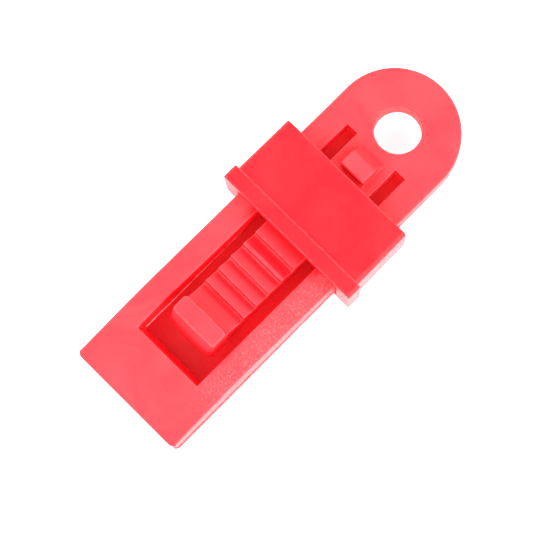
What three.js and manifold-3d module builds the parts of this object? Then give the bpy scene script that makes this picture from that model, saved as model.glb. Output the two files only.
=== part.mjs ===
// Slide-lock tarp clip: a flat clip body with a hanging eye, two jaws and a ratchet tongue,
// and a rectangular locking sleeve that slides along the body and squeezes the jaws shut.
//
// Frame, in millimetres: X runs along the clip towards the hanging eye, Y across it, Z up.
// The origin is the centre of the bounding box's underside. "Station" means the distance
// from the mouth end, measured along the clip.

import * as THREE from "three";
import { mergeVertices } from "three/addons/utils/BufferGeometryUtils.js";
import Module from "manifold-3d";

const wasm = await Module();
wasm.setup();

// Clip body
const LENGTH = 84.6;
const WIDTH = 25.5;
const BODY_FLOOR = 2.8; // underside of the lower jaw and the eye
const EYE_THICKNESS = 6.6;
const EYE_TOP = BODY_FLOOR + EYE_THICKNESS;
const EYE_RADIUS = WIDTH / 2;
const HOLE_STATION = 72.8;
const HOLE_RADIUS = 4.65;
const ROOT_STATION = 66.85; // where the jaws and the tongue spring from the eye
const PARTING = 0.3; // gap that parts two members at a flexure
const MOUTH_CORNER = 1.3;

// Upper jaw
const RIDGE_STATION = 16.5;
const RIDGE_TOP = EYE_TOP + 5.4;
const NOSE_TOP = EYE_TOP + 3.6;
const SIDE_DRAFT = 0.2; // how far each side leans in above the eye's top
const WINDOW_WIDTH = 15.2;
const WINDOW_FLARE = 0.25; // how far each side wall leans out between the eye's top and the ridge
const WINDOW_END = 11.3; // station of the window's edge at the top
const WINDOW_FOOT = 12.6; // station of the same wall at its foot

// Gap between the jaws, at the root and at the mouth
const UPPER_UNDERSIDE_ROOT = EYE_TOP - 2.3;
const UPPER_UNDERSIDE_MOUTH = EYE_TOP - 1.3;
const LOWER_TOP_ROOT = UPPER_UNDERSIDE_ROOT - 1.0;
const LOWER_TOP_MOUTH = UPPER_UNDERSIDE_MOUTH - 3.0;

// Grip teeth in the mouth
const GRIP_PITCH = 3.2;
const GRIP_FIRST = 1.7;
const GRIP_COUNT = 4;
const GRIP_DEPTH = 1.25;
const GRIP_BASE = 2.2;
const GRIP_TIP = 0.5;
const GRIP_WIDTH = 22.3;
const GRIP_INSET = 0.3; // overlap between a row and the surface it is cut from or joined to
const GROOVE_MOUTH = 2.6;
const GROOVE_FOOT = 1.2;
const GROOVE_WIDTH = 23.1;

// Ratchet tongue
const TONGUE_WIDTH = 10.15;
const TONGUE_JOINT = 44.4; // station where the toothed end bends from the root end
const TONGUE_RISE_START = 60.2;
const LIP_STATION = 42.4; // where the tongue's top starts to climb to the first crest
const LIP_TOP = EYE_TOP + 2.65;
const FIRST_CREST = 39.7;
const FIRST_CREST_TOP = EYE_TOP + 3.2;
const CREST_PITCH = 3.29;
const CREST_COUNT = 5;
const FLAT_CREST = 1; // index of the one crest with a level strip on top
const FLAT_RUN = 0.6;
const CREST_STEP = 0.43; // each crest stands this much higher than the last
const TOOTH_DEPTH = 1.6;
const TOOTH_BACK = 0.15; // run of a tooth's steep face
const ROOT_RISE = 0.85; // height of a tooth's steep face taken by the rounded root
const ROOT_RUN = 1.1; // reach of the rounded root along the next slope
const ROOT_STEPS = 4;
const LANDING_START = 22.4; // foot of the thumb block, where the last slope ends
const LANDING_TOP = EYE_TOP + 5.55;
const TONGUE_END = 16.6;
const TONGUE_END_UNDERSIDE = EYE_TOP + 1.2;

// Stop bump on the tongue's root
const BUMP_WIDTH = 5.8;
const BUMP_CATCH = 60.2;
const BUMP_HEIGHT = 4.3;
const BUMP_SHOULDER = 63.6; // between the steep ramp and the nearly level top
const BUMP_SHOULDER_HEIGHT = 3.5;
const BUMP_START = 66.1;

// Thumb block on the tongue's free end
const BLOCK_WIDTH = 10.6;
const BLOCK_FOOT_WIDTH = 11.1;
const BLOCK_TOP = EYE_TOP + 9;
const BLOCK_BACK = 22;
const BLOCK_FRONT = 18.3;
const BLOCK_CORNER = 1.1; // radius of its corners in plan
const BLOCK_HEEL = 0.3; // how far the block's back slopes out to its foot

// Locking sleeve
const SLEEVE_EYE_FACE = 59;
const SLEEVE_MOUTH_FACE = 42.7;
const FLANGE_LENGTH = 3.2;
const FLANGE_WIDTH = 33;
const FLANGE_TOP = EYE_TOP + 6.1;
const FLANGE_CORNER = 0.9;
const COLLAR_WIDTH = 31.2;
const COLLAR_FLOOR = 0.9;
const COLLAR_TOP = EYE_TOP + 5.1;
const COLLAR_FLARE = 0.15; // how far each side flares out towards the flange
const COLLAR_RISE = 0.35; // how far the top rises towards the flange
const COLLAR_CORNER = 1.1;
const PASSAGE_SIDE_GAP = 0.35;
const PASSAGE_FLOOR_GAP = 0.3;
const PASSAGE_TOP = EYE_TOP + 3.25;

const ARC_STEPS = 12;
const OVERSIZE = 5; // how far a cutting solid runs past what it cuts

const atStation = (station) => station - LENGTH / 2;
const mix = (a, b, t) => a + (b - a) * t;

// ---- Solids ----

function toSolid(geometry) {
  const bare = geometry.clone();
  bare.deleteAttribute("normal");
  bare.deleteAttribute("uv");
  const merged = mergeVertices(bare, 1e-4);
  const mesh = new wasm.Mesh({
    numProp: 3,
    vertProperties: new Float32Array(merged.attributes.position.array),
    triVerts: new Uint32Array(merged.index.array),
  });
  return new wasm.Manifold(mesh);
}

function toGeometry(solid) {
  const mesh = solid.getMesh();
  const geometry = new THREE.BufferGeometry();
  geometry.setAttribute("position", new THREE.BufferAttribute(mesh.vertProperties, 3));
  geometry.setIndex(new THREE.BufferAttribute(mesh.triVerts, 1));
  const shaded = geometry.toNonIndexed();
  shaded.computeVertexNormals();
  return shaded;
}

function extrude(shape, depth) {
  return new THREE.ExtrudeGeometry(shape, { depth, bevelEnabled: false, curveSegments: ARC_STEPS });
}

// A side profile of [station, height] points, extruded across the clip.
function sideSolid(points, width) {
  const shape = new THREE.Shape(points.map(([s, z]) => new THREE.Vector2(atStation(s), z)));
  const geometry = extrude(shape, width);
  geometry.rotateX(Math.PI / 2);
  geometry.translate(0, width / 2, 0);
  return toSolid(geometry);
}

// A plan outline in X and Y, extruded upwards.
function planSolid(shape, low, high) {
  const geometry = extrude(shape, high - low);
  geometry.translate(0, 0, low);
  return toSolid(geometry);
}

// A cross-section in Y and Z, extruded along the clip between two stations.
function sectionGeometry(shape, from, to) {
  const geometry = extrude(shape, to - from);
  const turn = new THREE.Matrix4().makeBasis(
    new THREE.Vector3(0, 1, 0),
    new THREE.Vector3(0, 0, 1),
    new THREE.Vector3(1, 0, 0),
  );
  geometry.applyMatrix4(turn);
  geometry.translate(atStation(from), 0, 0);
  return geometry;
}

function box(from, to, width, low, high) {
  const geometry = new THREE.BoxGeometry(to - from, width, high - low);
  geometry.translate(atStation((from + to) / 2), 0, (low + high) / 2);
  return toSolid(geometry);
}

function roundedRectangle(width, low, high, radius) {
  const half = width / 2;
  const shape = new THREE.Shape();
  shape.moveTo(-half + radius, low);
  shape.lineTo(half - radius, low);
  shape.absarc(half - radius, low + radius, radius, -Math.PI / 2, 0, false);
  shape.lineTo(half, high - radius);
  shape.absarc(half - radius, high - radius, radius, 0, Math.PI / 2, false);
  shape.lineTo(-half + radius, high);
  shape.absarc(-half + radius, high - radius, radius, Math.PI / 2, Math.PI, false);
  shape.lineTo(-half, low + radius);
  shape.absarc(-half + radius, low + radius, radius, Math.PI, 1.5 * Math.PI, false);
  return shape;
}

// ---- Clip body ----

// Plan outline of a jaw: square at the root, with rounded corners at the mouth.
function jawOutline() {
  const half = WIDTH / 2;
  const mouth = atStation(0);
  const root = atStation(ROOT_STATION - PARTING);
  const shape = new THREE.Shape();
  shape.moveTo(root, -half);
  shape.lineTo(root, half);
  shape.lineTo(mouth + MOUTH_CORNER, half);
  shape.absarc(mouth + MOUTH_CORNER, half - MOUTH_CORNER, MOUTH_CORNER, Math.PI / 2, Math.PI, false);
  shape.lineTo(mouth, -half + MOUTH_CORNER);
  shape.absarc(
    mouth + MOUTH_CORNER, -half + MOUTH_CORNER, MOUTH_CORNER, Math.PI, 1.5 * Math.PI, false,
  );
  return shape;
}

function eyePlate() {
  const half = WIDTH / 2;
  const root = atStation(ROOT_STATION);
  const centre = LENGTH / 2 - EYE_RADIUS;
  const shape = new THREE.Shape();
  shape.moveTo(root, -half);
  shape.lineTo(centre, -half);
  shape.absarc(centre, 0, EYE_RADIUS, -Math.PI / 2, Math.PI / 2, false);
  shape.lineTo(root, half);
  const plate = new THREE.ExtrudeGeometry(shape, {
    depth: EYE_THICKNESS,
    bevelEnabled: false,
    curveSegments: 3 * ARC_STEPS,
  });
  plate.translate(0, 0, BODY_FLOOR);
  const hole = new THREE.CylinderGeometry(
    HOLE_RADIUS, HOLE_RADIUS, EYE_THICKNESS + 2 * OVERSIZE, 4 * ARC_STEPS,
  );
  hole.rotateX(Math.PI / 2);
  hole.translate(atStation(HOLE_STATION), 0, BODY_FLOOR + EYE_THICKNESS / 2);
  return toSolid(plate).subtract(toSolid(hole));
}

// Rows of wedges that point down from a sloping surface, across the mouth: grip teeth under
// the upper jaw, or the grooves that they enter in the lower one.
function gripRows(wide, narrow, width, surfaceAt) {
  let rows = null;
  for (let i = 0; i < GRIP_COUNT; i++) {
    const centre = GRIP_FIRST + i * GRIP_PITCH;
    const surface = surfaceAt(centre);
    const row = sideSolid(
      [
        [centre - wide / 2, surface],
        [centre - narrow / 2, surface - GRIP_DEPTH],
        [centre + narrow / 2, surface - GRIP_DEPTH],
        [centre + wide / 2, surface],
        [centre + wide / 2, surface + GRIP_INSET],
        [centre - wide / 2, surface + GRIP_INSET],
      ],
      width,
    );
    rows = rows ? rows.add(row) : row;
  }
  return rows;
}

const upperUnderside = (s) => mix(UPPER_UNDERSIDE_MOUTH, UPPER_UNDERSIDE_ROOT, s / ROOT_STATION);
const lowerTop = (s) => mix(LOWER_TOP_MOUTH, LOWER_TOP_ROOT, s / ROOT_STATION);

function lowerJaw() {
  const profile = [
    [0, BODY_FLOOR],
    [ROOT_STATION, BODY_FLOOR],
    [ROOT_STATION, lowerTop(ROOT_STATION)],
    [0, lowerTop(0)],
  ];
  const slab = sideSolid(profile, WIDTH);
  const outline = planSolid(jawOutline(), 0, EYE_TOP);
  const grooves = gripRows(GROOVE_MOUTH, GROOVE_FOOT, GROOVE_WIDTH, lowerTop);
  return slab.intersect(outline).subtract(grooves);
}

// A bar along the clip whose sides stand upright below the eye's top and lean by `lean` up to
// the ridge.
function leaningSides(half, lean, end) {
  const section = new THREE.Shape();
  section.moveTo(-half, 0);
  section.lineTo(half, 0);
  section.lineTo(half, EYE_TOP);
  section.lineTo(half + lean, RIDGE_TOP);
  section.lineTo(half + lean, RIDGE_TOP + 1);
  section.lineTo(-half - lean, RIDGE_TOP + 1);
  section.lineTo(-half - lean, RIDGE_TOP);
  section.lineTo(-half, EYE_TOP);
  return toSolid(sectionGeometry(section, 0, end));
}

function upperJaw() {
  const profile = [
    [0, upperUnderside(0)],
    [ROOT_STATION, upperUnderside(ROOT_STATION)],
    [ROOT_STATION, EYE_TOP],
    [RIDGE_STATION, RIDGE_TOP],
    [0, NOSE_TOP],
  ];
  const window = sideSolid(
    [
      [WINDOW_FOOT, 0],
      [ROOT_STATION + OVERSIZE, 0],
      [ROOT_STATION + OVERSIZE, RIDGE_TOP + OVERSIZE],
      [WINDOW_END, RIDGE_TOP + OVERSIZE],
      [WINDOW_END, RIDGE_TOP],
      [WINDOW_FOOT, UPPER_UNDERSIDE_MOUTH],
    ],
    WINDOW_WIDTH + 2 * WINDOW_FLARE + OVERSIZE,
  ).intersect(leaningSides(WINDOW_WIDTH / 2, WINDOW_FLARE, ROOT_STATION + OVERSIZE));
  const teeth = gripRows(GRIP_BASE, GRIP_TIP, GRIP_WIDTH, upperUnderside);
  return sideSolid(profile, WIDTH)
    .intersect(leaningSides(WIDTH / 2, -SIDE_DRAFT, ROOT_STATION))
    .add(teeth)
    .intersect(planSolid(jawOutline(), 0, RIDGE_TOP + OVERSIZE))
    .subtract(window);
}

// ---- Ratchet tongue ----

function tongueUnderside(s) {
  const t = (ROOT_STATION - s) / (ROOT_STATION - TONGUE_END);
  return mix(UPPER_UNDERSIDE_ROOT, TONGUE_END_UNDERSIDE, t);
}

function tongueTop(s) {
  const t = (TONGUE_RISE_START - s) / (TONGUE_RISE_START - LIP_STATION);
  return mix(EYE_TOP, LIP_TOP, Math.max(0, t));
}

function tongueRoot() {
  const start = TONGUE_JOINT + PARTING / 2;
  const end = ROOT_STATION - PARTING;
  const strip = sideSolid(
    [
      [start, tongueUnderside(start)],
      [end, tongueUnderside(end)],
      [end, EYE_TOP],
      [TONGUE_RISE_START, EYE_TOP],
      [start, tongueTop(start)],
    ],
    TONGUE_WIDTH,
  );
  const bump = sideSolid(
    [
      [BUMP_CATCH, EYE_TOP - 1],
      [BUMP_START, EYE_TOP - 1],
      [BUMP_START, EYE_TOP],
      [BUMP_SHOULDER, EYE_TOP + BUMP_SHOULDER_HEIGHT],
      [BUMP_CATCH, EYE_TOP + BUMP_HEIGHT],
    ],
    BUMP_WIDTH,
  );
  return strip.add(bump);
}

// The curve from a tooth's steep face into the slope that rises to the next crest.
function toothRoot(crest, top, nextCrest, nextTop) {
  const root = new THREE.Vector2(crest - TOOTH_BACK, top - TOOTH_DEPTH);
  const faceEnd = root.clone().lerp(new THREE.Vector2(crest, top), ROOT_RISE / TOOTH_DEPTH);
  const slope = new THREE.Vector2(nextCrest, nextTop).sub(root).setLength(ROOT_RUN);
  const curve = new THREE.QuadraticBezierCurve(faceEnd, root, root.clone().add(slope));
  return curve.getPoints(ROOT_STEPS).map((point) => point.toArray());
}

// Saw teeth: each rises gently towards the mouth and drops steeply from its crest. The last
// slope runs up to the thumb block.
function toothProfile() {
  const points = [[LIP_STATION, LIP_TOP]];
  for (let i = 0; i < CREST_COUNT; i++) {
    const crest = FIRST_CREST - i * CREST_PITCH;
    const top = FIRST_CREST_TOP + i * CREST_STEP;
    const isLast = i === CREST_COUNT - 1;
    const nextCrest = isLast ? LANDING_START : crest - CREST_PITCH;
    const nextTop = isLast ? LANDING_TOP : top + CREST_STEP;
    if (i === FLAT_CREST) {
      points.push([crest + FLAT_RUN, top]);
    }
    points.push([crest, top], ...toothRoot(crest, top, nextCrest, nextTop));
  }
  return points;
}

function tongueTip() {
  const start = TONGUE_JOINT - PARTING / 2;
  const strip = sideSolid(
    [
      [BLOCK_FRONT, tongueUnderside(BLOCK_FRONT)],
      [start, tongueUnderside(start)],
      [start, tongueTop(start)],
      ...toothProfile(),
      [LANDING_START, LANDING_TOP],
      [BLOCK_FRONT, LANDING_TOP],
    ],
    TONGUE_WIDTH,
  );
  return strip.add(thumbBlock());
}

// A rounded block that narrows from its foot, which runs forward to the tongue's end.
function thumbBlock() {
  const height = BLOCK_TOP - TONGUE_END_UNDERSIDE;
  const block = sectionGeometry(
    roundedRectangle(BLOCK_FOOT_WIDTH, TONGUE_END, BLOCK_BACK + BLOCK_HEEL, BLOCK_CORNER),
    0,
    height,
  );
  const position = block.attributes.position;
  for (let i = 0; i < position.count; i++) {
    const rise = (position.getX(i) - atStation(0)) / height;
    const y = position.getY(i);
    const station = position.getZ(i);
    const along = (station - TONGUE_END) / (BLOCK_BACK + BLOCK_HEEL - TONGUE_END);
    const topStation = mix(BLOCK_FRONT, BLOCK_BACK, along);
    position.setXYZ(
      i,
      atStation(mix(station, topStation, rise)),
      -y * mix(1, BLOCK_WIDTH / BLOCK_FOOT_WIDTH, rise),
      TONGUE_END_UNDERSIDE + height * rise,
    );
  }
  return toSolid(block);
}

// ---- Locking sleeve ----

function lockingSleeve() {
  const flangeEnd = SLEEVE_MOUTH_FACE + FLANGE_LENGTH;
  const collar = sectionGeometry(
    roundedRectangle(COLLAR_WIDTH, COLLAR_FLOOR, COLLAR_TOP, COLLAR_CORNER),
    flangeEnd - 1,
    SLEEVE_EYE_FACE,
  );
  flare(collar, flangeEnd);
  const flange = sectionGeometry(
    roundedRectangle(FLANGE_WIDTH, 0, FLANGE_TOP, FLANGE_CORNER),
    SLEEVE_MOUTH_FACE,
    flangeEnd,
  );
  const passage = box(
    SLEEVE_MOUTH_FACE - OVERSIZE,
    SLEEVE_EYE_FACE + OVERSIZE,
    WIDTH + 2 * PASSAGE_SIDE_GAP,
    BODY_FLOOR - PASSAGE_FLOOR_GAP,
    PASSAGE_TOP,
  );
  return toSolid(collar).add(toSolid(flange)).subtract(passage);
}

// Spreads the collar's section evenly from its eye face to the flange.
function flare(geometry, flangeEnd) {
  const run = SLEEVE_EYE_FACE - flangeEnd;
  const centre = (COLLAR_FLOOR + COLLAR_TOP) / 2;
  const position = geometry.attributes.position;
  for (let i = 0; i < position.count; i++) {
    const t = (atStation(SLEEVE_EYE_FACE) - position.getX(i)) / run;
    position.setY(i, position.getY(i) + Math.sign(position.getY(i)) * COLLAR_FLARE * t);
    if (position.getZ(i) > centre) {
      position.setZ(i, position.getZ(i) + COLLAR_RISE * t);
    }
  }
}

// ---- Materials and scene ----

function redPlastic(color, roughness) {
  return new THREE.MeshStandardMaterial({ color, roughness, metalness: 0 });
}

function addPart(group, name, solid, material) {
  const mesh = new THREE.Mesh(toGeometry(solid), material);
  mesh.name = name;
  group.add(mesh);
}

const clip = new THREE.Group();
const bodyPlastic = redPlastic(0xf5424c, 0.45);
const tonguePlastic = redPlastic(0xf23d48, 0.42);
const sleevePlastic = redPlastic(0xf03440, 0.38);

addPart(clip, "eye_plate", eyePlate(), bodyPlastic.clone());
addPart(clip, "lower_jaw", lowerJaw(), bodyPlastic.clone());
addPart(clip, "upper_jaw", upperJaw(), bodyPlastic.clone());
addPart(clip, "tongue_root", tongueRoot(), tonguePlastic.clone());
addPart(clip, "ratchet_tongue", tongueTip(), tonguePlastic.clone());
addPart(clip, "locking_sleeve", lockingSleeve(), sleevePlastic.clone());

export default clip;
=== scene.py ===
import math

import bmesh
import bpy
from mathutils import Matrix, Vector


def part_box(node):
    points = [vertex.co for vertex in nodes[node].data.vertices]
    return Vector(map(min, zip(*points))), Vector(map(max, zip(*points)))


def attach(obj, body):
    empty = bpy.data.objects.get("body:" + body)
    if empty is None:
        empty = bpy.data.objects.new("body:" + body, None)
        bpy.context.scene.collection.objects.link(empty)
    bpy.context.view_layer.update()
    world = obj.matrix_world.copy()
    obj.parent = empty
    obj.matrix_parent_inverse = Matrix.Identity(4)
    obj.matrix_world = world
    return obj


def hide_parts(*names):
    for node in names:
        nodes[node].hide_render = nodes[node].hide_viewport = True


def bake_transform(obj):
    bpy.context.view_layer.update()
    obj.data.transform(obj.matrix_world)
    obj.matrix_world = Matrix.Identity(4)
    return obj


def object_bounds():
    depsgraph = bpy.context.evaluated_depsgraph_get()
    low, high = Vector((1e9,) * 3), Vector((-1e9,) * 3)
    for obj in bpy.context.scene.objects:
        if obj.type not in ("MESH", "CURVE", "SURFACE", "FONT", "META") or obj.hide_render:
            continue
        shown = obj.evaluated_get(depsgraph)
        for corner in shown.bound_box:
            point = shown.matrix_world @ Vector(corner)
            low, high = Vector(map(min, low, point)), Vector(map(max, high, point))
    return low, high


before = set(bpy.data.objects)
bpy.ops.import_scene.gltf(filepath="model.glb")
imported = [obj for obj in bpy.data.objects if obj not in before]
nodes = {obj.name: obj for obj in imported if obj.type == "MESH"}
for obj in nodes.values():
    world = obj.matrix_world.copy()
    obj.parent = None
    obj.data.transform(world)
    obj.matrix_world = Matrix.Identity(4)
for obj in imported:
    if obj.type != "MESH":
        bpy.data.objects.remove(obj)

cad_low, cad_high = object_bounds()
MM = 0.001


# ---- Places on the clip ----
# It lies along X with its mouth at the low end. Y = 0 is its middle line, and Z is up.

eye_low, eye_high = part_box("eye_plate")
jaw_low, jaw_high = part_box("upper_jaw")
_, lower_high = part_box("lower_jaw")
root_low, root_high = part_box("tongue_root")
_, tip_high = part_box("ratchet_tongue")

mouth_x = jaw_low.x


def from_mouth(distance):
    """The X that lies `distance` millimetres from the mouth."""
    return mouth_x + distance * MM


root_x = eye_low.x  # where the jaws and the tongue spring from the eye plate
cut_x = root_x - 0.5 * MM  # where the whole moulding's mesh is parted into its members
joint_x = tip_high.x  # where the tongue's toothed end meets its root
ridge_x = from_mouth(16.5)  # the highest line of the upper jaw
hole_x = from_mouth(72.8)  # the axis of the hanging hole
eye_top = eye_high.z
jaw_underside = eye_top - 2.3 * MM
leaf_top = jaw_underside - 1.0 * MM  # the lower jaw's top at its root
half_width = eye_high.y
half_window = 7.6 * MM
half_tongue = root_high.y

# Stretches of the clip, in millimetres from the mouth
WINDOW = (11, 68)
THUMB_BLOCK = (16.4, 22.5)
TEETH = (22.6, 41)
STOP_BUMP = (60, 66.4)

# How far features reach from the middle line, in millimetres
BUMP_SIDE = 3.2
TONGUE_SIDE = 5.8
WINDOW_SIDE = 7.8


# ---- Mesh helpers ----

def from_node(name):
    """The CAD node's solid as a bmesh, with its triangles merged back into flat faces."""
    bm = bmesh.new()
    bm.from_mesh(nodes[name].data)
    weld(bm, 0.002 * MM)
    bmesh.ops.dissolve_limit(
        bm, angle_limit=math.radians(0.6), verts=bm.verts, edges=bm.edges, delimit=set()
    )
    return bm


def weld(bm, distance=0.004 * MM):
    bmesh.ops.remove_doubles(bm, verts=bm.verts, dist=distance)


def to_object(bm, name):
    mesh = bpy.data.meshes.new(name)
    bm.to_mesh(mesh)
    bm.free()
    obj = bpy.data.objects.new(name, mesh)
    bpy.context.collection.objects.link(obj)
    return obj


def applied(obj):
    """The object's mesh with its modifiers applied, as a bmesh. The object is removed."""
    graph = bpy.context.evaluated_depsgraph_get()
    mesh = bpy.data.meshes.new_from_object(obj.evaluated_get(graph))
    bm = bmesh.new()
    bm.from_mesh(mesh)
    bpy.data.meshes.remove(mesh)
    bpy.data.objects.remove(obj)
    return bm


def add_mesh(bm, other):
    """Adds the other mesh to this one, and frees it."""
    mesh = bpy.data.meshes.new("member")
    other.to_mesh(mesh)
    other.free()
    bm.from_mesh(mesh)
    bpy.data.meshes.remove(mesh)


def at_x(vert, x, tolerance=0.01 * MM):
    return abs(vert.co.x - x) < tolerance


def open_end(bm, old_x, new_x, heights):
    """Moves the end section at old_x to new_x, sets it to the nearest of the given heights and
    takes off its cap."""
    for v in bm.verts:
        if at_x(v, old_x):
            v.co.x = new_x
            v.co.z = min(heights, key=lambda z: abs(z - v.co.z))
    caps = [f for f in bm.faces if all(at_x(v, new_x) for v in f.verts)]
    bmesh.ops.delete(bm, geom=caps, context="FACES")


def split_along(start, end, places):
    """Adds vertices along the edge from start to end, nearest first."""
    for place in places:
        edge = next(e for e in start.link_edges if end in e.verts)
        share = (place - start.co).length / (end.co - start.co).length
        start = bmesh.utils.edge_split(edge, start, share)[1]


def slice_at(bm, places):
    """Cuts the mesh along planes across the clip, so that it can bend there."""
    for x in places:
        geometry = bm.verts[:] + bm.edges[:] + bm.faces[:]
        bmesh.ops.bisect_plane(
            bm, geom=geometry, plane_co=(x, 0, 0), plane_no=(1, 0, 0), dist=1e-4 * MM
        )


def runs_across(edge, shortest=1.5 * MM):
    """Whether the edge runs across the clip, and isn't only the short end of a feature."""
    return abs(edge.verts[0].co.y - edge.verts[1].co.y) > shortest


def round_edges(bm, radius_of, widest=0.6 * MM, sharp=22, crease=5):
    """Rounds every edge that turns more than `sharp` degrees, each with its own radius. An edge
    whose radius is 0 keeps its line, and so does a shallower one across the clip that turns more
    than `crease` degrees. None marks a facet line of a round, which is shaded smooth."""
    weight = bm.edges.layers.float.new("bevel_weight_edge")
    for e in bm.edges:
        radius = radius_of(e, (e.verts[0].co + e.verts[1].co) / 2)
        if radius is None:
            continue
        angle = math.degrees(e.calc_face_angle(0))
        if angle > sharp:
            e[weight] = radius / widest
            e.smooth = radius > 0
        elif angle > crease and runs_across(e):
            e.smooth = False
    obj = to_object(bm, "rounding")
    bevel = obj.modifiers.new("bevel", "BEVEL")
    bevel.limit_method = "WEIGHT"
    bevel.offset_type = "OFFSET"
    bevel.width = widest
    bevel.segments = 3
    bevel.use_clamp_overlap = False
    bevel.miter_outer = "MITER_ARC"
    return applied(obj)


def islands(bm, is_barrier):
    """Sets of face indices that join without crossing a barrier edge."""
    bm.faces.index_update()
    found, seen = [], set()
    for start in bm.faces:
        if start.index in seen:
            continue
        group, queue = set(), [start]
        seen.add(start.index)
        while queue:
            face = queue.pop()
            group.add(face.index)
            for e in face.edges:
                if is_barrier(e):
                    continue
                for other in e.link_faces:
                    if other.index not in seen:
                        seen.add(other.index)
                        queue.append(other)
        found.append(group)
    return found


def cut_out(bm, wanted):
    """A copy of the mesh with only the wanted faces, capped where the others were cut off."""
    part = bm.copy()
    part.faces.ensure_lookup_table()
    unwanted = [f for f in part.faces if f.index not in wanted]
    bmesh.ops.delete(part, geom=unwanted, context="FACES")
    for f in part.faces:
        f.smooth = True
    border = [e for e in part.edges if e.is_boundary]
    for e in border:
        e.smooth = False
    made = bmesh.ops.holes_fill(part, edges=border, sides=0)
    for f in made["faces"]:
        f.smooth = False
    return part


def finish_piece(bm, name, material, node_names):
    """Turns the mesh into a piece that stands for the named CAD nodes, if there are any."""
    bmesh.ops.recalc_face_normals(bm, faces=bm.faces)
    many_sided = [f for f in bm.faces if len(f.verts) > 4]
    bmesh.ops.triangulate(bm, faces=many_sided, quad_method="BEAUTY", ngon_method="BEAUTY")
    obj = to_object(bm, name)
    obj.data.materials.append(material)
    normals = obj.modifiers.new("normals", "WEIGHTED_NORMAL")
    normals.mode = "FACE_AREA_WITH_ANGLE"
    normals.weight = 80
    normals.keep_sharp = True
    if node_names:
        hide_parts(*node_names)
    return obj


# ---- Node helpers ----

def fill(tree, node, values):
    """Gives the node's first inputs these values: a socket is linked, and anything else is set."""
    for socket, value in zip(node.inputs, values):
        if isinstance(value, bpy.types.NodeSocket):
            tree.links.new(value, socket)
        else:
            socket.default_value = value


def maths(tree, operation, *values):
    node = tree.nodes.new("ShaderNodeMath")
    node.operation = operation
    fill(tree, node, values)
    return node.outputs["Value"]


def vector_maths(tree, operation, *values):
    node = tree.nodes.new("ShaderNodeVectorMath")
    node.operation = operation
    fill(tree, node, values)
    return node.outputs["Value" if operation in ("DOT_PRODUCT", "LENGTH") else "Vector"]


def product(tree, first, *others):
    for other in others:
        first = maths(tree, "MULTIPLY", first, other)
    return first


def largest(tree, first, *others):
    for other in others:
        first = maths(tree, "MAXIMUM", first, other)
    return first


def coordinates(tree, place):
    split = tree.nodes.new("ShaderNodeSeparateXYZ")
    tree.links.new(place, split.inputs[0])
    return split.outputs["X"], split.outputs["Y"], split.outputs["Z"]


def remap(tree, value, low, high, to_low=0.0, to_high=1.0, smooth=False):
    node = tree.nodes.new("ShaderNodeMapRange")
    if smooth:
        node.interpolation_type = "SMOOTHSTEP"
    fill(tree, node, (value, low, high, to_low, to_high))
    return node.outputs["Result"]


def noise(tree, place, scale, detail=2, distortion=0.0):
    node = tree.nodes.new("ShaderNodeTexNoise")
    node.inputs["Scale"].default_value = scale
    node.inputs["Detail"].default_value = detail
    node.inputs["Distortion"].default_value = distortion
    tree.links.new(place, node.inputs["Vector"])
    return node.outputs["Fac"]


def blend_colours(tree, factor, first, second):
    """Mixes two colours, each a socket or three numbers."""
    node = tree.nodes.new("ShaderNodeMix")
    node.data_type = "RGBA"
    tree.links.new(factor, node.inputs["Factor"])
    for name, colour in (("A", first), ("B", second)):
        if isinstance(colour, tuple):
            node.inputs[name].default_value = (*colour, 1)
        else:
            tree.links.new(colour, node.inputs[name])
    return node.outputs["Result"]


def raised(tree, height, strength, distance, normal=None):
    node = tree.nodes.new("ShaderNodeBump")
    node.inputs["Strength"].default_value = strength
    node.inputs["Distance"].default_value = distance
    tree.links.new(height, node.inputs["Height"])
    if normal:
        tree.links.new(normal, node.inputs["Normal"])
    return node.outputs["Normal"]


# ---- Materials ----

# Painted shade at the front of the window's well
WELL_SHADE_RED = (0.74, 0.003, 0.011)
# Pale pink painted glints for the coarse-grained patch
GLINT_PINK = (0.98, 0.12, 0.13)
# Pale pink painted highlight along edges
EDGE_HIGHLIGHT_PINK = (0.97, 0.30, 0.31)


def openness(tree):
    """1 where nothing stands near the surface, and less the deeper it lies in a recess."""
    node = tree.nodes.new("ShaderNodeAmbientOcclusion")
    node.samples = 8
    node.inputs["Distance"].default_value = 6 * MM
    return node.outputs["AO"]


def hole_wall_shade(tree, place):
    """Painted shade on the wall of the hanging hole: 0.9 there, and 0 from its rim outwards."""
    from_axis = vector_maths(tree, "MULTIPLY_ADD", place, (1, 1, 0), (-hole_x, 0, 0))
    radius = vector_maths(tree, "LENGTH", from_axis)
    return remap(tree, radius, 4.9 * MM, 4.66 * MM, 0.0, 0.9)


def painted_recess_shade(tree, place):
    """How much painted shade goes on: 1 deep in the window or at a tooth's root, partly so on the
    wall of the hanging hole, and 0 on open faces and on the clip's outer sides."""
    along, side, _ = coordinates(tree, place)
    across = maths(tree, "ABSOLUTE", side)
    open_share = openness(tree)
    within_rails = remap(tree, across, 9.8 * MM, 8.4 * MM)
    on_tongue = remap(tree, across, 5.3 * MM, 5.0 * MM)
    beside_bump = product(tree, on_tongue, remap(tree, along, from_mouth(57), from_mouth(60)))
    deep = product(
        tree, remap(tree, open_share, 0.93, 0.48), within_rails,
        remap(tree, beside_bump, 0, 1, 1, 0.35),
    )
    tooth_root_shade = product(
        tree, remap(tree, open_share, 1.02, 0.8), on_tongue,
        remap(tree, along, from_mouth(22.0), from_mouth(22.8)),
        remap(tree, along, from_mouth(40.0), from_mouth(39.5)),
    )
    return largest(tree, deep, tooth_root_shade, hole_wall_shade(tree, place))


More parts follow.
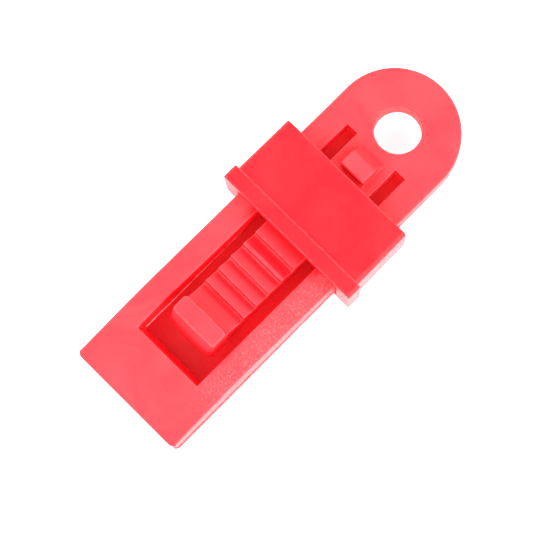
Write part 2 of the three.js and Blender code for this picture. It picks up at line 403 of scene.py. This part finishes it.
def well_front_shade(tree, place, shade_depth):
    """Painted shade: 1 at the front of the window's well and up its front wall, where little light
    reaches in.
    """
    along, side, _ = coordinates(tree, place)
    across = maths(tree, "ABSOLUTE", side)
    in_window = product(
        tree, remap(tree, across, half_window + 0.1 * MM, half_window - 0.1 * MM),
        remap(tree, along, from_mouth(11.25), from_mouth(11.5)),
    )
    floor = product(tree, shade_depth, remap(tree, along, from_mouth(27), from_mouth(20)))
    wall = remap(tree, along, from_mouth(13.2), from_mouth(12.9))
    return product(tree, in_window, largest(tree, floor, wall))


def painted_edge_highlights(tree, place):
    """Painted edge highlight: 0 on flat faces, rising a little along edges, broken up by noise.
    None where one member of the moulding runs on into the next."""
    rounded = tree.nodes.new("ShaderNodeBevel")
    rounded.samples = 4
    rounded.inputs["Radius"].default_value = 0.35 * MM
    flat = tree.nodes.new("ShaderNodeNewGeometry").outputs["True Normal"]
    likeness = vector_maths(tree, "DOT_PRODUCT", rounded.outputs["Normal"], flat)
    edge = remap(tree, likeness, 0.995, 0.85)
    patchy = remap(tree, noise(tree, place, 900), 0.35, 0.65, 0.1, 0.42)
    edge_highlight = product(tree, edge, patchy)
    along, _, _ = coordinates(tree, place)
    for seam in (cut_x, joint_x):
        at_seam = maths(tree, "COMPARE", along, seam, 0.6 * MM)
        edge_highlight = product(tree, edge_highlight, maths(tree, "SUBTRACT", 1.0, at_seam))
    return edge_highlight


def matte_patch(tree, place):
    """1 on top of the right-hand rail, where the mould is more coarsely spark-eroded, with soft
    borders."""
    along, side, _ = coordinates(tree, place)
    return product(
        tree,
        remap(tree, side, -6.8 * MM, -9.8 * MM, smooth=True),
        remap(tree, along, from_mouth(4.3), from_mouth(16.3), smooth=True),
        remap(tree, along, from_mouth(60.3), from_mouth(44.3), smooth=True),
        remap(tree, side, -12.5 * MM, -12.1 * MM),
    )


def moulded_plastic(name, colour, streak, recess, roughness, grain, specular, has_patch):
    """Injection-moulded polypropylene: fine grain and slow flow marks in the streak colour. If it
    has a recess colour, a deeper red is painted into its hollows as shade."""
    material = bpy.data.materials.new(name)
    material.use_nodes = True
    tree = material.node_tree
    shader = tree.nodes["Principled BSDF"]
    shader.inputs["IOR"].default_value = 1.49
    shader.inputs["Specular IOR Level"].default_value = specular
    place = tree.nodes.new("ShaderNodeTexCoord").outputs["Object"]

    flow = noise(tree, place, 110, detail=3, distortion=0.8)
    tint = blend_colours(tree, remap(tree, flow, 0.36, 0.62), streak, colour)
    # Painted glints: pale pink speckles on the coarse patch; the bumps below are its real texture
    if has_patch:
        patch = matte_patch(tree, place)
        coarse = noise(tree, place, 2900, detail=3)
        painted_glints = product(tree, patch, remap(tree, coarse, 0.5, 0.66, 0.05, 0.7))
        tint = blend_colours(tree, painted_glints, tint, GLINT_PINK)
    # Painted shade: recesses and the front of the window's well are darkened to a deeper red
    if recess:
        shade_depth = painted_recess_shade(tree, place)
        tint = blend_colours(tree, shade_depth, tint, recess)
        tint = blend_colours(tree, well_front_shade(tree, place, shade_depth), tint, WELL_SHADE_RED)
    # Painted highlight: edges lightened towards pale pink
    tint = blend_colours(tree, painted_edge_highlights(tree, place), tint, EDGE_HIGHLIGHT_PINK)
    tree.links.new(tint, shader.inputs["Base Color"])

    speckle = noise(tree, place, 2500)
    gloss = remap(tree, speckle, 0.35, 0.65, roughness - 0.07, roughness + 0.07)
    tree.links.new(gloss, shader.inputs["Roughness"])

    fine = noise(tree, place, 4200, detail=4)
    surface = raised(tree, fine, strength=grain, distance=0.06 * MM)
    if has_patch:
        coarse_grain = product(tree, patch, coarse)
        surface = raised(tree, coarse_grain, strength=0.6, distance=0.12 * MM, normal=surface)
    surface = raised(tree, flow, strength=0.25, distance=0.4 * MM, normal=surface)
    tree.links.new(surface, shader.inputs["Normal"])
    return material


# The body's third colour is the deep red of its painted recess shade
body_plastic = moulded_plastic(
    "body_plastic", (0.96, 0.040, 0.050), (0.95, 0.028, 0.038), (0.93, 0.003, 0.012),
    roughness=0.44, grain=0.5, specular=0.36, has_patch=True,
)
sleeve_plastic = moulded_plastic(
    "sleeve_plastic", (0.94, 0.015, 0.023), (0.93, 0.009, 0.017), None,
    roughness=0.36, grain=0.25, specular=0.28, has_patch=False,
)
# The fin is flash of the same red plastic; its pale pink is a painted highlight
flash_highlight_plastic = moulded_plastic(
    "flash_highlight_plastic", (0.98, 0.62, 0.62), (0.97, 0.45, 0.46), None,
    roughness=0.35, grain=0.2, specular=0.5, has_patch=False,
)


# ---- Clip body ----

def ease(x, corner, half, turn):
    """How far a ridge is lowered at x when it is rounded over `half` of its run on each side of the
    corner. The turn is the change of slope there."""
    d = abs(x - corner)
    return turn * (half - d) ** 2 / (4 * half) if d < half else 0.0


def upper_leaf():
    """The upper jaw, with its ridge softened."""
    bm = from_node("upper_jaw")
    half = 4.5 * MM
    slice_at(bm, [ridge_x + half * t for t in (-1, -0.7, -0.4, -0.15, 0.15, 0.4, 0.7, 1)])
    slope_to_root = (jaw_high.z - eye_top) / (jaw_high.x - ridge_x)
    slope_to_mouth = 1.8 * MM / (ridge_x - mouth_x)
    for v in bm.verts:
        if v.co.z > eye_top + 1 * MM:
            v.co.z -= ease(v.co.x, ridge_x, half, slope_to_root + slope_to_mouth)
    open_end(bm, jaw_high.x, root_x, (jaw_underside, eye_top))
    return bm


def lower_leaf():
    bm = from_node("lower_jaw")
    open_end(bm, lower_high.x, root_x, (eye_low.z, leaf_top))
    return bm


def eye_with_end():
    """The eye plate, its end face open where the jaws and the tongue spring from it."""
    bm = from_node("eye_plate")
    open_end(bm, root_x, root_x, (eye_low.z, eye_top))
    corner = {}
    for v in bm.verts:
        if at_x(v, root_x):
            corner[v.co.y > 0, v.co.z > jaw_underside] = v
    for side in (False, True):
        y = corner[side, True].co.y
        levels = [Vector((root_x, y, z)) for z in (leaf_top, jaw_underside)]
        split_along(corner[side, False], corner[side, True], levels)
    edges_y = (-half_window, -half_tongue, half_tongue, half_window)
    split_along(
        corner[False, True], corner[True, True], [Vector((root_x, y, eye_top)) for y in edges_y]
    )

    def face(*spots):
        bm.faces.new([bm.verts.new((root_x, y, z)) for y, z in spots])

    face(
        (-half_width, leaf_top), (half_width, leaf_top), (half_width, jaw_underside),
        *[(y, jaw_underside) for y in reversed(edges_y)], (-half_width, jaw_underside),
    )
    for inner, outer in ((half_tongue, half_window), (-half_window, -half_tongue)):
        face((inner, jaw_underside), (outer, jaw_underside), (outer, eye_top), (inner, eye_top))
    weld(bm)
    return bm


def whole_tongue():
    """Both ends of the tongue, joined where CAD parts them."""
    bm = from_node("tongue_root")
    tip = from_node("ratchet_tongue")
    section = [v.co.z for v in tip.verts if at_x(v, joint_x)]
    heights = (min(section), max(section))
    open_end(tip, joint_x, joint_x, heights)
    open_end(bm, root_low.x, joint_x, heights)
    open_end(bm, root_high.x, root_x, (jaw_underside, eye_top))
    add_mesh(bm, tip)
    weld(bm)
    return bm


def body_radius(edge, middle):
    """The radius that an edge of the moulding is rounded to. Inside corners stay crisp, and the
    tooth roots are rounds already."""
    along = (middle.x - mouth_x) / MM
    across = abs(middle.y) / MM
    up = (middle.z - eye_top) / MM

    def on(stretch, side):
        return stretch[0] < along < stretch[1] and across < side

    if not edge.is_convex:
        return None if on(TEETH, TONGUE_SIDE) and up > 0.5 else 0.0
    if on(STOP_BUMP, BUMP_SIDE) and up > -0.1:
        on_catch_edge = along < 60.3 and up > 4
        return (0.6 if on_catch_edge else 0.4) * MM
    if on(THUMB_BLOCK, TONGUE_SIDE) and up > 5.6:  # the rim of the block's top
        return 0.3 * MM
    if along < 45 and across < TONGUE_SIDE:  # the rest of the toothed end
        on_crest = runs_across(edge) and up > 1
        return (0.14 if on_crest else 0.07) * MM
    if on(WINDOW, WINDOW_SIDE) and up > -0.2:  # the window's rims and the tongue's root
        return 0.16 * MM
    if -5.6 < up < -0.6:  # the jaws' facing sides
        in_mouth = across < 11.7 and along < 16
        return (0.05 if in_mouth else 0.12) * MM
    at_lips = along < 2
    return (0.2 if at_lips else 0.3) * MM


def build_body():
    """The whole moulding, rounded, and sliced where it bends."""
    bm = eye_with_end()
    for member in (upper_leaf(), whole_tongue(), lower_leaf()):
        add_mesh(bm, member)
    weld(bm)
    bmesh.ops.recalc_face_normals(bm, faces=bm.faces)
    bm = round_edges(bm, body_radius)
    for v in bm.verts:
        v.co.x = max(v.co.x, mouth_x)
    bends = [root_x - t * MM for t in (1.1, 1.7, 2.3, 2.9, 3.5)]
    bends += [joint_x - t * MM for t in (0.5, 1.0, 1.5)]
    slice_at(bm, [cut_x, joint_x, *bends])
    return bm


def is_cut(edge):
    """Whether the moulding is parted here: the members at cut_x, and the tongue at joint_x."""
    def lies_at(x):
        return all(at_x(v, x, 0.001 * MM) for v in edge.verts)

    on_tongue = all(abs(v.co.y) < 6 * MM and v.co.z > eye_top - 1.5 * MM for v in edge.verts)
    return lies_at(cut_x) or (lies_at(joint_x) and on_tongue)


def member_of(spots):
    """Which member of the moulding these face centres belong to."""
    end = max(p.x for p in spots)
    if end > root_x + 1 * MM:
        return "eye"
    if max(abs(p.y) for p in spots) < 6 * MM:
        return "root" if end > joint_x + 1 * MM else "tip"
    return "upper" if max(p.z for p in spots) > eye_top else "lower"


whole = build_body()
groups = islands(whole, is_cut)
whole.faces.ensure_lookup_table()
members = {
    member_of([whole.faces[i].calc_center_median() for i in group]): group for group in groups
}

frame_piece = finish_piece(
    cut_out(whole, members["eye"] | members["upper"]),
    "clip_frame", body_plastic, ["eye_plate", "upper_jaw"],
)
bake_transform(frame_piece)
lower_piece = finish_piece(
    cut_out(whole, members["lower"]),
    "lower_jaw_leaf", body_plastic, ["lower_jaw"],
)
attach(lower_piece, "clip_body")
root_piece = finish_piece(
    cut_out(whole, members["root"]),
    "tongue_root_strip", body_plastic, ["tongue_root"],
)
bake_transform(root_piece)
tip_piece = finish_piece(
    cut_out(whole, members["tip"]),
    "tongue_tip", body_plastic, ["ratchet_tongue"],
)
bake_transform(tip_piece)
whole.free()


def wall_flash():
    """The thin fin of flash left along the foot of the window's left wall. It sinks and thins out
    away from the mouth."""
    bm = bmesh.new()
    start, end, steps = from_mouth(12.75), from_mouth(40), 48
    foot, sink = jaw_underside + 1.0 * MM, 0.45 * MM
    inside_wall = half_window + 0.03 * MM
    reach, thickness, tip_rise = 0.13 * MM, 0.2 * MM, 0.06 * MM
    rings = []
    for i in range(steps + 1):
        share = i / steps
        ripple = 0.8 + 0.2 * math.sin(9 * share) * math.sin(31 * share)
        size = (1 - share) ** 0.6 * ripple + 0.02
        x = start + share * (end - start)
        z = foot - share * sink
        tip_y = half_window - reach * size
        points = ((inside_wall, z), (inside_wall, z + thickness), (tip_y, z + tip_rise))
        rings.append([bm.verts.new((x, y, height)) for y, height in points])
    for a, b in zip(rings, rings[1:]):
        for k in range(3):
            bm.faces.new((a[k], a[(k + 1) % 3], b[(k + 1) % 3], b[k]))
    for ring in (rings[0], rings[-1]):
        bm.faces.new(ring)
    return bm


# The flash fin's pale colour is a painted highlight
flash_piece = finish_piece(wall_flash(), "wall_flash", flash_highlight_plastic, [])
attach(flash_piece, "jaw")


# ---- Locking sleeve ----

def sleeve_radius(edge, middle):
    """Inside corners stay crisp, and the passage's rims are rounded less than the outside."""
    if not edge.is_convex:
        return 0.0
    in_passage = abs(middle.y) < 13.3 * MM and 1.2 * MM < middle.z < 12.8 * MM
    return (0.12 if in_passage else 0.24) * MM


def build_sleeve():
    bm = round_edges(from_node("locking_sleeve"), sleeve_radius, sharp=40)
    for f in bm.faces:
        f.smooth = True
    return bm


sleeve_piece = finish_piece(
    build_sleeve(), "sleeve_shell", sleeve_plastic, ["locking_sleeve"]
)
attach(sleeve_piece, "sleeve")


# ---- Floor, light and camera ----

def build_floor():
    """A plain white floor that glows a little, so that it stays pale under the clip."""
    bm = bmesh.new()
    bmesh.ops.create_grid(bm, x_segments=2, y_segments=2, size=3)
    for v in bm.verts:
        v.co.z = cad_low.z - 0.05 * MM
    floor = to_object(bm, "floor")
    material = bpy.data.materials.new("floor")
    material.use_nodes = True
    shader = material.node_tree.nodes["Principled BSDF"]
    shader.inputs["Base Color"].default_value = (0.92, 0.92, 0.92, 1)
    shader.inputs["Roughness"].default_value = 0.9
    shader.inputs["Specular IOR Level"].default_value = 0.1
    shader.inputs["Emission Color"].default_value = (1, 1, 1, 1)
    shader.inputs["Emission Strength"].default_value = 0.7
    floor.data.materials.append(material)


def brightness_by_height(tree, height, stops):
    """Eases between the stops, each a height and its brightness. Height 0 is the horizon and all
    below it, and 1 is straight up."""
    node = tree.nodes.new("ShaderNodeValToRGB")
    ramp = node.color_ramp
    ramp.interpolation = "EASE"
    while len(ramp.elements) < len(stops):
        ramp.elements.new(0.5)
    for element, (position, level) in zip(ramp.elements, stops):
        element.position = position
        element.color = (level, level, level, 1)
    tree.links.new(height, node.inputs["Fac"])
    return node.outputs["Color"]


def build_studio():
    """A white tent round the object, brightest at half height and on the near side, and dim
    overhead."""
    world = bpy.data.worlds.new("studio")
    bpy.context.scene.world = world
    world.use_nodes = True
    tree = world.node_tree
    background = tree.nodes["Background"]
    background.inputs["Color"].default_value = (1, 1, 1, 1)
    towards = tree.nodes.new("ShaderNodeTexCoord").outputs["Generated"]
    _, _, height = coordinates(tree, towards)
    stops = ((0.0, 0.35), (0.35, 0.55), (0.68, 1.0), (0.86, 0.6), (0.95, 0.1), (1.0, 0.07))
    level = brightness_by_height(tree, height, stops)
    nearness = vector_maths(tree, "DOT_PRODUCT", towards, (-0.30, -0.50, 0))
    overall = 4.0
    strength = product(tree, level, maths(tree, "ADD", nearness, 1.0), overall)
    tree.links.new(strength, background.inputs["Strength"])


def build_camera():
    """The photograph's view: from almost straight above, with the clip lying diagonally."""
    data = bpy.data.cameras.new("camera")
    data.sensor_width = 36
    data.lens = 164.4
    data.clip_start = 0.01
    camera = bpy.data.objects.new("camera", data)
    place = Vector((-0.0377, -0.05234, 0.46444))
    aim = Vector((-0.005596, -0.000646, 0.0094))
    back = (place - aim).normalized()
    right = Vector((0.70487, -0.70867, -0.03077)).normalized()
    up = back.cross(right)
    turned = Matrix((right, up, back)).transposed()
    camera.matrix_world = Matrix.Translation(place) @ turned.to_4x4()
    bpy.context.collection.objects.link(camera)
    bpy.context.scene.camera = camera


build_floor()
build_studio()
build_camera()
bpy.context.scene.view_settings.view_transform = "Standard"
